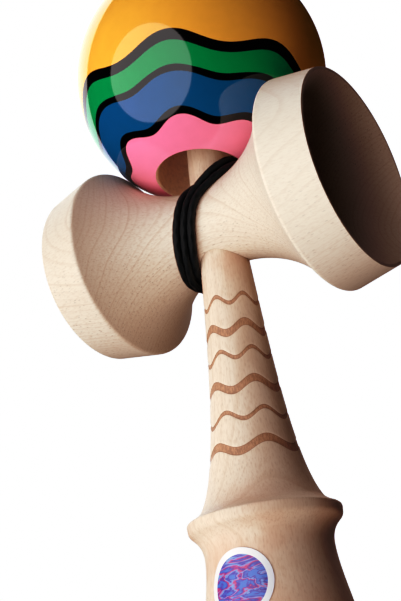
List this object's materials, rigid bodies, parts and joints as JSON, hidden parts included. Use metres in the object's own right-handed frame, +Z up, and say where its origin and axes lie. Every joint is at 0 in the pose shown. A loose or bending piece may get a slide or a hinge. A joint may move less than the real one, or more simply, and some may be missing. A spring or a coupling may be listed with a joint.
{
  "type": "kendama",
  "caption": "Maple kendama with a striped lacquered ball on its spike and a black string wound round the neck of its cross piece",
  "frame": {"origin": "on the handle's axis, in the plane that the base rim stands on, in the middle of the base cup's mouth", "axes": "+Z up along the handle to the spike, +X along the cross piece to the big cup, -Y to the front with the sticker"},
  "size_m": [0.0738, 0.0631, 0.17],
  "materials": {
    "maple": "satin, bare sanded wood",
    "lacquered_wood": "gloss lacquer in wavy stripes",
    "bead_wood": "satin",
    "string": "braided, slightly shiny",
    "vinyl": "gloss print with a white border"
  },
  "bodies": {
    "ken": {"handle": "maple", "cross_piece": "maple", "base_sticker": "vinyl", "root_knot": "string", "string_winding": "string", "string_rise": "string"},
    "string_end": {"bead": "bead_wood", "bead_knot": "string"},
    "tama": {"ball": "lacquered_wood"}
  },
  "joints": [
    {"name": "ball_lift", "type": "slide", "parent": "ken", "child": "string_end", "axis": [0, 0.1874, 0.9823], "range_m": [0, 0.055], "deforming": ["string_rise"]},
    {"name": "ball_spin", "type": "hinge", "parent": "string_end", "child": "tama", "pos_m": [-0.0006, 0.0033, 0.13883], "axis": [0, 0.1874, 0.9823], "continuous": true}
  ]
}
